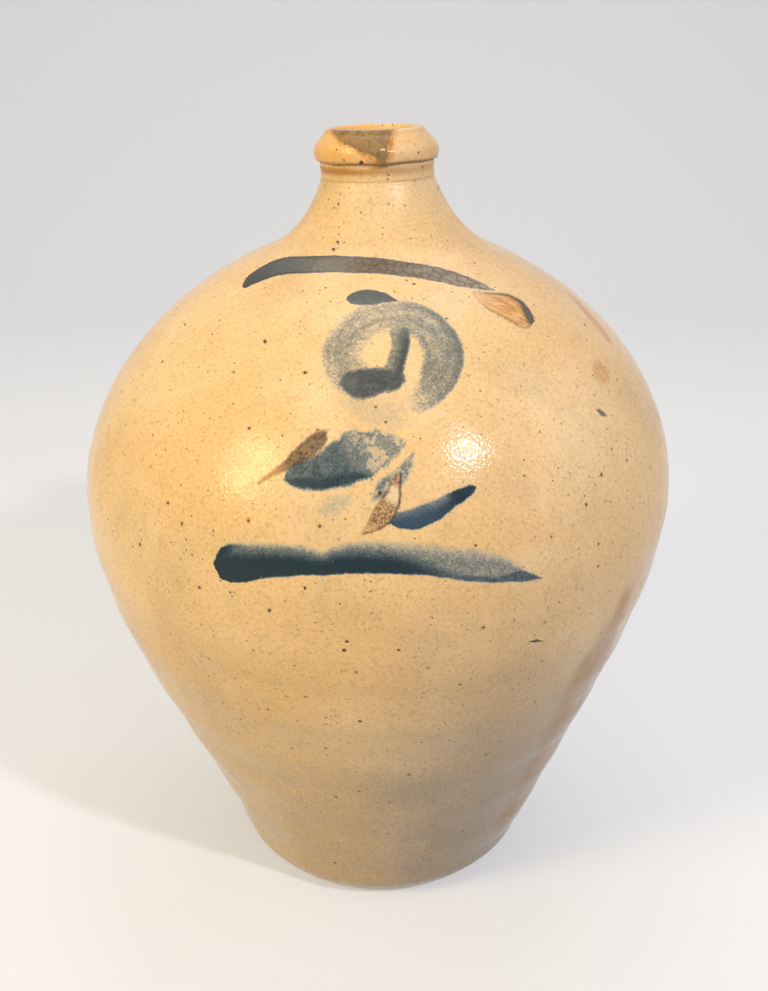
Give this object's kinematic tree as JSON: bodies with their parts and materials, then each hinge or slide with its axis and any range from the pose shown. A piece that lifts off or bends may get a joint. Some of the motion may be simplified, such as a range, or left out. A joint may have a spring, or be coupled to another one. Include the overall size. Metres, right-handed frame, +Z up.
{
  "type": "stoneware jug",
  "caption": "Ovoid salt-glazed stoneware jug with a short neck, a folded lip and a pulled strap handle.",
  "frame": {"origin": "centre of the flat base, on the axis of the jug", "axes": "+Z up along the axis of the jug, -Y towards the decorated front, +Y towards the handle"},
  "size_m": [0.262, 0.262, 0.343],
  "materials": {
    "salt_glazed_body": "salt glaze, orange-peel",
    "lip_glaze": "salt glaze with a kiln drip",
    "handle_clay": "salt glaze, orange-peel",
    "joint_clay": "salt glaze over smeared clay"
  },
  "bodies": {
    "root": {"thrown_body": "salt_glazed_body", "folded_lip": "lip_glaze", "strap_handle": "handle_clay", "upper_joint_clay": "joint_clay", "lower_joint_clay": "joint_clay"}
  },
  "joints": []
}
